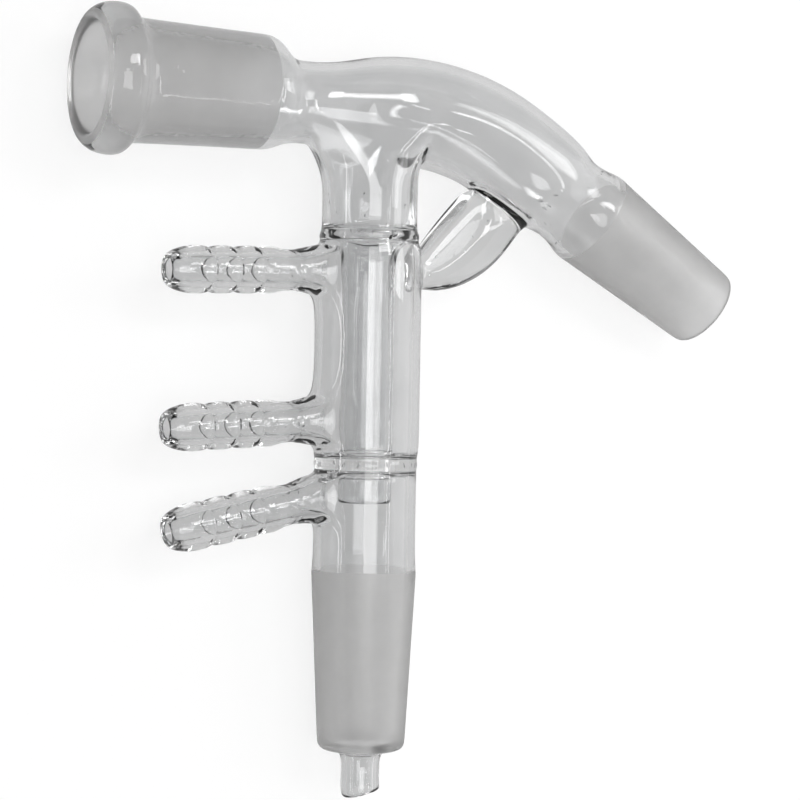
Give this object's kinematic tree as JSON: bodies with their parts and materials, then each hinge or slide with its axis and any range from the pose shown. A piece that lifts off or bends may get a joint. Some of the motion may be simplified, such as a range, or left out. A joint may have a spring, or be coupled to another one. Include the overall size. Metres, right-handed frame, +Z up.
{
  "type": "distillation head",
  "caption": "One-piece glass short-path distillation head: angled flask joint, thermometer socket, water-jacketed condenser, vacuum hose barb and a ground drip-tip joint.",
  "frame": {"origin": "middle of the part's footprint on the bench that it lies on", "axes": "+X from the socket towards the flask joint, +Y up the column, away from the drip tip, +Z up from the bench; the head lies on its socket's rim and its two ground joints"},
  "size_m": [0.1686, 0.1763, 0.0331],
  "materials": {
    "glass": "clear borosilicate glass, ground matt inside the socket and outside both lower joints"
  },
  "bodies": {
    "root": {"distillation_head": "glass"}
  },
  "joints": []
}
